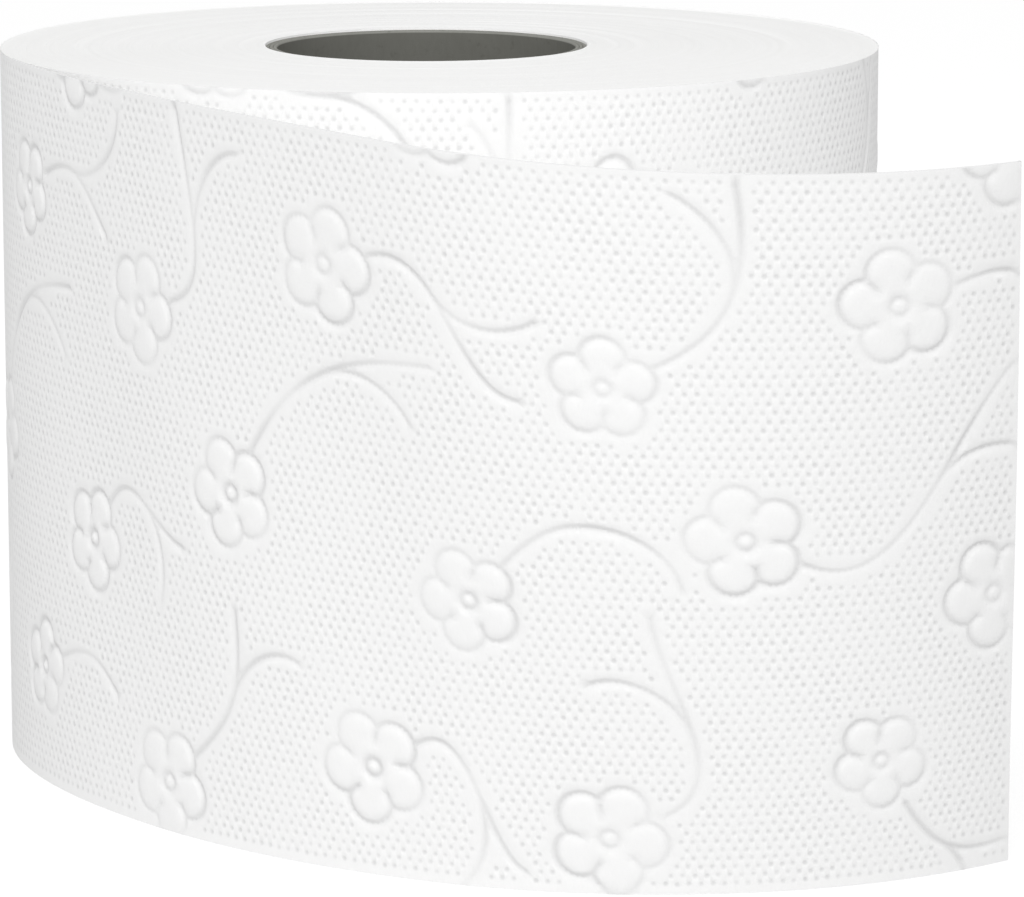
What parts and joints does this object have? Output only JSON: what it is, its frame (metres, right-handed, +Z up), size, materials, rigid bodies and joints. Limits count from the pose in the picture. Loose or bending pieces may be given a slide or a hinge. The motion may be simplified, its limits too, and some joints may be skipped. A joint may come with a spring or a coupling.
{
  "type": "toilet paper roll",
  "caption": "White embossed toilet paper roll standing on end, its leading sheet loose and curling round the front, with an open cardboard tube.",
  "frame": {"origin": "on the tube's axis, in the plane that the roll stands on", "axes": "+Z up the tube's axis; the loose sheet comes away at -X, passes in front at -Y and ends at +X"},
  "size_m": [0.1306, 0.1683, 0.095],
  "materials": {
    "board": "matt grey board",
    "tissue": "soft matt embossed tissue"
  },
  "bodies": {
    "root": {"core_tube": "board", "tissue_web": "tissue"}
  },
  "joints": []
}
